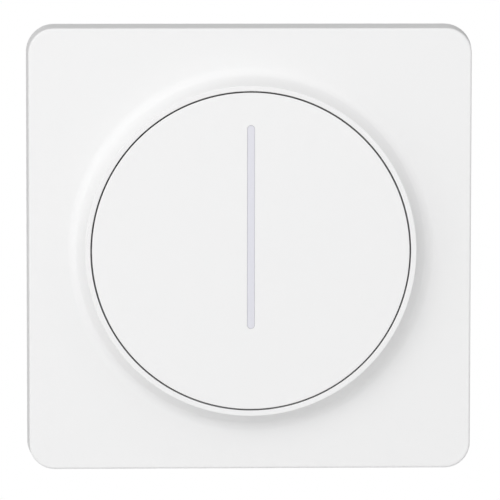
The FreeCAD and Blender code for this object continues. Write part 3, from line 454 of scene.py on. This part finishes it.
def barOutline(more):
    # straight sides and full round ends, let out by more, anticlockwise from the right of the top end
    half = bar["width"] / 2 + more
    reach = bar["length"] / 2 - bar["width"] / 2
    points = []
    for sign in (1, -1):
        for i in range(face["endSteps"]):
            a = math.pi * i / face["endSteps"]
            points.append((sign * half * math.cos(a), bar["rise"] + sign * (reach + half * math.sin(a))))
        for i in range(face["sideSteps"]):
            share = 1 - 2 * i / face["sideSteps"]
            points.append((-sign * half, bar["rise"] + sign * reach * share))
    return points


def faceOutline(radius):
    # a circle whose points pair with those of the bar's outline
    points = []
    for sign in (1, -1):
        start = 90.0 if sign > 0 else 270.0
        for i in range(face["endSteps"]):
            points.append(start + face["endSpread"] * (2 * i / face["endSteps"] - 1))
        for i in range(face["sideSteps"]):
            share = i / face["sideSteps"]
            points.append(start + face["endSpread"] + (180 - 2 * face["endSpread"]) * share)
    return [(radius * math.cos(math.radians(a)), radius * math.sin(math.radians(a))) for a in points]


def makePressFace():
    f = face
    top, back = f["top"], f["top"] - f["skin"]
    radius = f["stopRadius"] - f["stopReach"]
    inside = radius - f["skirt"]
    stopTop = top - cover["lipDepth"] - f["stopGap"]
    stopBack = stopTop - f["stopThick"]
    slot = barOutline(f["slotGap"])
    rings = [[at(x, z, height) for x, z in slot] for height in (back, top - f["slotEdge"])]
    for more in (f["slotEdge"], f["slotEdge"] + f["support"]):
        rings.append([at(x, z, top) for x, z in barOutline(f["slotGap"] + more)])
    inner = barOutline(f["slotGap"] + f["slotEdge"] + f["support"])
    outer = faceOutline(radius - f["edge"] - f["support"])
    for i in range(1, f["spread"] + 1):
        rings.append([at(x, z, top) for x, z in mixOutlines(inner, outer, i / f["spread"])])
    for reach, height in arc(radius - f["edge"], top - f["edge"], f["edge"], 90, 0, f["edgeSteps"]):
        rings.append([at(x, z, height) for x, z in faceOutline(reach)])
    for reach, height in ((radius, top - f["edge"] - f["support"]), (radius, stopTop),
                          (f["stopRadius"], stopTop), (f["stopRadius"], stopBack), (inside, stopBack)):
        rings.append([at(x, z, height) for x, z in faceOutline(reach)])
    fillet = f["backFillet"]
    for reach, height in arc(inside - fillet, back - fillet, fillet, 0, 90, f["filletSteps"]):
        rings.append([at(x, z, height) for x, z in faceOutline(reach)])
    mesh = bmesh.new()
    loft(mesh, rings, closed=True)
    behind(mesh, "press_face", back, f["widestRib"])
    return finishPiece("pressFace", mesh, "press_face")


def makeLightBar():
    front = face["top"] - bar["recess"]
    rings = []
    for reach, height in arc(0, front - bar["edge"], bar["edge"], 90, 0, bar["edgeSteps"]):
        rings.append([at(x, z, height) for x, z in barOutline(reach - bar["edge"])])
    rings.append([at(x, z, bar["back"] - joining["overlap"]) for x, z in barOutline(0)])
    mesh = bmesh.new()
    loft(mesh, rings, capFirst=True, capLast=True)
    behind(mesh, "light_guide", bar["back"], face["widestRib"])
    return finishPiece("lightBar", mesh, "light_guide")


pressFace = makePressFace()
lightBar = makeLightBar()
print("press face and light bar,", len(pressFace.data.polygons), "and", len(lightBar.data.polygons), "faces")

# Moulded and pressed pieces whose CAD form is right get soft edges, with widths in mm

softening = {"segments": 2, "fromAngle": 38.0}
softEdges = {
    "rear_housing": 0.12, "front_housing": 0.1, "support_frame": 0.1, "right_claw": 0.08, "left_claw": 0.08,
    "right_claw_nut": 0.15, "left_claw_nut": 0.15, "heat_plate": 0.15, "shield_can": 0.25,
    "film_capacitor": 0.4, "transistors": 0.1, "switch_body": 0.1, "processor_chip": 0.08,
    "light_box": 0.1, "supply_chip": 0.08, "terminal_cages": 0.08, "return_springs": 0.05,
}


def pieceName(node):
    return "shown" + "".join(word.capitalize() for word in node.split("_"))


def evaluated(rough):
    # the finished mesh of an object with modifiers, which is then taken away
    graph = bpy.context.evaluated_depsgraph_get()
    result = bpy.data.meshes.new_from_object(rough.evaluated_get(graph))
    bpy.data.objects.remove(rough)
    return result


def softened(node, width):
    mesh = nodeCopy(node)
    data = bpy.data.meshes.new(node)
    mesh.to_mesh(data)
    mesh.free()
    data.shade_smooth()
    rough = bpy.data.objects.new(node + "_rough", data)
    bpy.context.scene.collection.objects.link(rough)
    bevel = rough.modifiers.new("softEdge", "BEVEL")
    bevel.width = width * mm
    bevel.segments = softening["segments"]
    bevel.limit_method = "ANGLE"
    bevel.angle_limit = math.radians(softening["fromAngle"])
    bevel.use_clamp_overlap = False
    # keeps the shading of the flat faces flat
    rough.modifiers.new("flatFaces", "WEIGHTED_NORMAL")
    return showPiece(pieceName(node), evaluated(rough), node)


def flattenSprings(springs):
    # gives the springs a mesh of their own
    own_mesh(springs)


softPieces = {node: softened(node, width) for node, width in softEdges.items()}
flattenSprings(softPieces["return_springs"])
print("softened pieces,", len(softPieces))

# Screws: one tree makes every kind from its sizes, head up, and sets it at each of its places

# sides and steps of the round forms; threaded and threadEnd are shares of the shank's length
facets = {"shankSides": 48, "headSides": 64, "threadSteps": 28, "ridgeSides": 4, "threaded": 0.9,
          "threadEnd": 0.97, "coilSteps": 40, "wireSides": 8}


def moved(tree, geometry, height):
    lift = addNode(tree, "ShaderNodeCombineXYZ", {"Z": height}).outputs[0]
    return addNode(tree, "GeometryNodeTransform", {"Geometry": geometry, "Translation": lift}).outputs[0]


def swept(tree, curve, profile):
    values = {"Curve": curve.outputs[0], "Profile Curve": profile.outputs[0], "Fill Caps": True}
    return addNode(tree, "GeometryNodeCurveToMesh", values).outputs[0]


def setAtPlaces(tree, parts, given, result):
    # joins the parts, turns them, sets them at every point and gives them their material
    joined = tree.nodes.new("GeometryNodeJoinGeometry")
    for part in parts:
        tree.links.new(part, joined.inputs[0])
    turned = addNode(tree, "FunctionNodeEulerToRotation", {0: given["Turn"]})
    spread = addNode(tree, "GeometryNodeInstanceOnPoints",
                     {"Points": given["Geometry"], "Instance": joined.outputs[0],
                      "Rotation": turned.outputs[0]})
    whole = addNode(tree, "GeometryNodeRealizeInstances", {0: spread.outputs[0]})
    painted = addNode(tree, "GeometryNodeSetMaterial",
                      {"Geometry": whole.outputs[0], "Material": given["Material"]})
    tree.links.new(painted.outputs[0], result["Geometry"])


def makeScrewTree():
    sizes = ["Shank Radius", "Shank Length", "Thread Pitch", "Thread Depth", "Head Radius", "Head Height",
             "Slot Length", "Slot Width", "Slot Depth"]
    tree, given, result = newGroup(
        "screw",
        [("Geometry", "NodeSocketGeometry", None)] + [(size, "NodeSocketFloat", 0.001) for size in sizes]
        + [("Cross", "NodeSocketBool", False), ("Turn", "NodeSocketVector", None),
           ("Material", "NodeSocketMaterial", None)],
        [("Geometry", "NodeSocketGeometry")], "GeometryNodeTree")
    tree.is_modifier = True
    length, headHeight = given["Shank Length"], given["Head Height"]
    core = mathNode(tree, "SUBTRACT", given["Shank Radius"], given["Thread Depth"])
    shank = addNode(tree, "GeometryNodeMeshCylinder",
                    {"Vertices": facets["shankSides"], "Radius": core, "Depth": length})
    shank = moved(tree, shank.outputs["Mesh"], mathNode(tree, "MULTIPLY", length, -0.5))
    threadLength = mathNode(tree, "MULTIPLY", length, facets["threaded"])
    turns = mathNode(tree, "DIVIDE", threadLength, given["Thread Pitch"])
    spiral = addNode(tree, "GeometryNodeCurveSpiral",
                     {"Resolution": facets["threadSteps"], "Rotations": turns, "Start Radius": core,
                      "End Radius": core, "Height": threadLength})
    ridge = addNode(tree, "GeometryNodeCurvePrimitiveCircle",
                    {"Resolution": facets["ridgeSides"], "Radius": given["Thread Depth"]})
    thread = moved(tree, swept(tree, spiral, ridge), mathNode(tree, "MULTIPLY", length, -facets["threadEnd"]))
    head = addNode(tree, "GeometryNodeMeshCylinder",
                   {"Vertices": facets["headSides"], "Radius": given["Head Radius"], "Depth": headHeight})
    head = moved(tree, head.outputs["Mesh"], mathNode(tree, "MULTIPLY", headHeight, 0.5))
    # the slot's box is centred on the head's top, so it is twice as deep as the slot
    long, wide = given["Slot Length"], given["Slot Width"]
    deep = mathNode(tree, "MULTIPLY", given["Slot Depth"], 2.0)
    slots = []
    for x, y in ((long, wide), (wide, long)):
        size = addNode(tree, "ShaderNodeCombineXYZ", {"X": x, "Y": y, "Z": deep})
        slots.append(addNode(tree, "GeometryNodeMeshCube", {"Size": size.outputs[0]}).outputs[0])
    second = addNode(tree, "GeometryNodeSwitch", {"Switch": given["Cross"], "True": slots[1]},
                     input_type="GEOMETRY")
    cut = addNode(tree, "GeometryNodeMeshBoolean", {"Mesh 1": head}, operation="DIFFERENCE", solver="EXACT")
    for slot in (slots[0], second.outputs[0]):
        tree.links.new(moved(tree, slot, headHeight), cut.inputs["Mesh 2"])
    setAtPlaces(tree, (shank, thread, cut.outputs["Mesh"]), given, result)
    return tree


def makeWindingTree():
    # close turns of wire round a core, along the local Z axis
    tree, given, result = newGroup(
        "winding",
        [("Geometry", "NodeSocketGeometry", None), ("Radius", "NodeSocketFloat", 0.006),
         ("Wire Radius", "NodeSocketFloat", 0.0003), ("Height", "NodeSocketFloat", 0.008),
         ("Turn", "NodeSocketVector", None), ("Material", "NodeSocketMaterial", None)],
        [("Geometry", "NodeSocketGeometry")], "GeometryNodeTree")
    tree.is_modifier = True
    wire = given["Wire Radius"]
    pitch = mathNode(tree, "MULTIPLY", wire, 2.0)
    reach = mathNode(tree, "SUBTRACT", given["Radius"], wire)
    run = mathNode(tree, "SUBTRACT", given["Height"], pitch)
    spiral = addNode(tree, "GeometryNodeCurveSpiral",
                     {"Resolution": facets["coilSteps"], "Rotations": mathNode(tree, "DIVIDE", run, pitch),
                      "Start Radius": reach, "End Radius": reach, "Height": run})
    profile = addNode(tree, "GeometryNodeCurvePrimitiveCircle",
                      {"Resolution": facets["wireSides"], "Radius": wire})
    turns = moved(tree, swept(tree, spiral, profile), mathNode(tree, "MULTIPLY", run, -0.5))
    core = addNode(tree, "GeometryNodeMeshCylinder",
                   {"Vertices": facets["headSides"], "Radius": reach, "Depth": given["Height"]})
    setAtPlaces(tree, (turns, core.outputs["Mesh"]), given, result)
    return tree


# sizes and places in mm, each place as x, z and height
headForward = (math.pi / 2, 0.0, 0.0)
headDown = (math.pi, 0.0, 0.0)
screws = {
    "housing_screws": {
        "places": [(9.5, 22.4, 2.6), (-9.5, -22.4, 2.6)], "Turn": headForward, "Shank Radius": 1.25,
        "Shank Length": 9.6, "Thread Pitch": 0.9, "Thread Depth": 0.25, "Head Radius": 2.2,
        "Head Height": 0.9, "Slot Length": 2.6, "Slot Width": 0.6, "Slot Depth": 0.6, "Cross": True},
    "right_claw_screw": {
        "places": [(24.0, -7.0, 1.05)], "Turn": headForward, "Shank Radius": 1.7, "Shank Length": 25.05,
        "Thread Pitch": 0.6, "Thread Depth": 0.22, "Head Radius": 2.9, "Head Height": 1.9,
        "Slot Length": 6.4, "Slot Width": 0.8, "Slot Depth": 0.95, "Cross": False},
    "terminal_screws": {
        "places": [(9.0 * (i - 1.5), -20.75, -18.1) for i in range(4)], "Turn": headDown,
        "Shank Radius": 1.5, "Shank Length": 3.55, "Thread Pitch": 0.5, "Thread Depth": 0.18,
        "Head Radius": 1.5, "Head Height": 1.0, "Slot Length": 3.6, "Slot Width": 0.55, "Slot Depth": 0.6,
        "Cross": False},
}
screws["left_claw_screw"] = dict(screws["right_claw_screw"], places=[(-24.0, 7.0, 1.05)])
coil = {"places": [(-9.5, 8.5, -13.7)], "Turn": headForward, "Radius": 6.3, "Wire Radius": 0.3, "Height": 8.0}


def grown(tree, node, look):
    # runs a tree on the points where its pieces stand, with sizes in mm
    name = pieceName(node)
    data = bpy.data.meshes.new(name)
    data.from_pydata([at(*place) for place in look["places"]], [], [])
    rough = bpy.data.objects.new(name + "Places", data)
    bpy.context.scene.collection.objects.link(rough)
    modifier = rough.modifiers.new("grow", "NODES")
    modifier.node_group = tree
    for item in tree.interface.items_tree:
        if item.name in look:
            value = look[item.name]
            modifier[item.identifier] = value * mm if isinstance(value, float) else value
        elif item.name == "Material":
            modifier[item.identifier] = materials[slotOf[node]]
    return showPiece(name, shaded(evaluated(rough)), node)


screwTree = makeScrewTree()
for node, look in screws.items():
    grown(screwTree, node, look)
grown(makeWindingTree(), "choke_winding", coil)
print("screws and winding grown,", len(screws) + 1)

# Round pieces of the power board

can = {"x": 6.2, "z": 5.6, "radius": 4.0, "foot": -8.2, "top": -20.2, "groove": 1.8, "grooveDepth": 0.25,
       "edge": 0.5, "edgeSteps": 6, "dish": 0.15, "steps": 64}


def makeCapacitor():
    # a sleeve with a groove near the board and a dished, crimped top
    c = can
    middle = c["foot"] - c["groove"]
    profile = [(c["radius"], c["foot"]), (c["radius"], middle + c["edge"])]
    profile += [(c["radius"] - c["grooveDepth"], middle), (c["radius"], middle - c["edge"])]
    profile += [(c["radius"] - c["edge"] * (1 - math.cos(a)), c["top"] + c["edge"] * (1 - math.sin(a)))
                for a in (math.radians(90 * i / c["edgeSteps"]) for i in range(c["edgeSteps"] + 1))]
    profile.append((c["radius"] - c["edge"] * 2, c["top"] + c["dish"]))
    angles = [2 * math.pi * i / c["steps"] for i in range(c["steps"])]
    rings = [[at(c["x"] + reach * math.cos(a), c["z"] + reach * math.sin(a), height) for a in angles]
             for reach, height in profile]
    mesh = bmesh.new()
    loft(mesh, rings, capFirst=True, capLast=True)
    return finishPiece("electrolyticCapacitor", mesh, "electrolytic_capacitor")


makeCapacitor()
print("capacitor turned")

# Camera: where the photograph was taken from, with angles in degrees, distances in m and its aim in mm

view = {"azimuth": -2.1, "elevation": 5.7, "roll": 0.06, "distance": 0.943, "across": 0.09498,
        "aimX": -0.03, "aimZ": -0.15, "aimHeight": 7.0, "sensor": 36.0, "nearest": 0.01, "furthest": 20.0}


def makeCamera():
    data = bpy.data.cameras.new("camera")
    data.sensor_width = view["sensor"]
    data.lens = data.sensor_width * view["distance"] / view["across"]
    camera = bpy.data.objects.new("camera", data)
    bpy.context.scene.collection.objects.link(camera)
    a, e = math.radians(view["azimuth"]), math.radians(view["elevation"])
    away = Vector((math.sin(a) * math.cos(e), -math.cos(a) * math.cos(e), math.sin(e)))
    target = at(view["aimX"], view["aimZ"], view["aimHeight"])
    turn = (-away).to_track_quat("-Z", "Y").to_matrix().to_4x4()
    roll = Matrix.Rotation(math.radians(view["roll"]), 4, "Z")
    camera.matrix_world = Matrix.Translation(target + away * view["distance"]) @ turn @ roll
    data.clip_start, data.clip_end = view["nearest"], view["furthest"]
    bpy.context.scene.camera = camera


makeCamera()

# Soft studio: a pale floor well below the part, a white surround and three large lamps, in metres and watts

studio = {
    "surroundFront": 1.02, "surroundBack": 0.03, "turnFrom": -0.3, "turnTo": 0.1,
    "ahead": 0.66, "aheadFrom": -1.0, "aheadTo": -0.4,
    "floorDrop": 0.55, "floorRadius": 0.9, "floorSides": 96, "floorColour": (0.86, 0.86, 0.86),
    "floorRoughness": 0.8,
    "key": {"place": (-0.43, -0.78, 0.46), "size": 0.6, "power": 2.95, "mirrored": True},
    "side": {"place": (-1.1, -0.4, -0.1), "size": 0.8, "power": 0.85, "mirrored": True},
    "back": {"place": (0.0, 1.8, 0.1), "size": 0.8, "power": 22.0, "mirrored": False},
}


def makeLamp(name, look):
    data = bpy.data.lights.new(name, "AREA")
    data.shape = "SQUARE"
    data.size = look["size"]
    data.energy = look["power"]
    lamp = bpy.data.objects.new(name, data)
    lamp.location = look["place"]
    lamp.visible_glossy = look["mirrored"]
    lamp.rotation_euler = (-Vector(look["place"])).to_track_quat("-Z", "Y").to_euler()
    bpy.context.scene.collection.objects.link(lamp)


def makeSurround():
    world = bpy.data.worlds.new("surround")
    bpy.context.scene.world = world
    world.use_nodes = True
    tree = world.node_tree
    tree.nodes.clear()
    # the camera, metal and clear pieces see plain white
    paths = tree.nodes.new("ShaderNodeLightPath").outputs
    seen = mathNode(tree, "MAXIMUM", paths["Is Camera Ray"], paths["Is Glossy Ray"])
    seen = mathNode(tree, "MAXIMUM", seen, paths["Is Transmission Ray"])
    # the light is bright in front of the wall and dim behind it, and a little dimmer straight ahead
    place = tree.nodes.new("ShaderNodeTexCoord").outputs["Generated"]
    depth = addNode(tree, "ShaderNodeSeparateXYZ", {0: place}).outputs["Y"]
    level = addNode(tree, "ShaderNodeMapRange",
                    {"Value": depth, "From Min": studio["turnFrom"], "From Max": studio["turnTo"],
                     "To Min": studio["surroundFront"], "To Max": studio["surroundBack"]})
    ahead = addNode(tree, "ShaderNodeMapRange",
                    {"Value": depth, "From Min": studio["aheadFrom"], "From Max": studio["aheadTo"],
                     "To Min": studio["ahead"], "To Max": 1.0})
    level = mathNode(tree, "MULTIPLY", level.outputs["Result"], ahead.outputs["Result"])
    light = addNode(tree, "ShaderNodeBackground", {"Color": (1, 1, 1, 1), "Strength": level})
    white = addNode(tree, "ShaderNodeBackground", {"Color": (1, 1, 1, 1), "Strength": 1.0})
    mix = addNode(tree, "ShaderNodeMixShader", {0: seen, 1: light.outputs[0], 2: white.outputs[0]})
    leave = tree.nodes.new("ShaderNodeOutputWorld")
    tree.links.new(mix.outputs[0], leave.inputs["Surface"])


def makeFloor():
    mesh = bmesh.new()
    bmesh.ops.create_circle(mesh, cap_ends=True, segments=studio["floorSides"],
                            radius=studio["floorRadius"])
    data = bpy.data.meshes.new("floor")
    mesh.to_mesh(data)
    mesh.free()
    floor = bpy.data.objects.new("floor", data)
    floor.location.z = -studio["floorDrop"]
    bpy.context.scene.collection.objects.link(floor)
    material = bpy.data.materials.new("floor")
    material.use_nodes = True
    shader = material.node_tree.nodes["Principled BSDF"]
    shader.inputs["Base Color"].default_value = (*studio["floorColour"], 1)
    shader.inputs["Roughness"].default_value = studio["floorRoughness"]
    data.materials.append(material)


for name in ("key", "side", "back"):
    makeLamp(name, studio[name])
makeSurround()
makeFloor()
bpy.context.scene.view_settings.view_transform = "Standard"
print("camera and studio set")
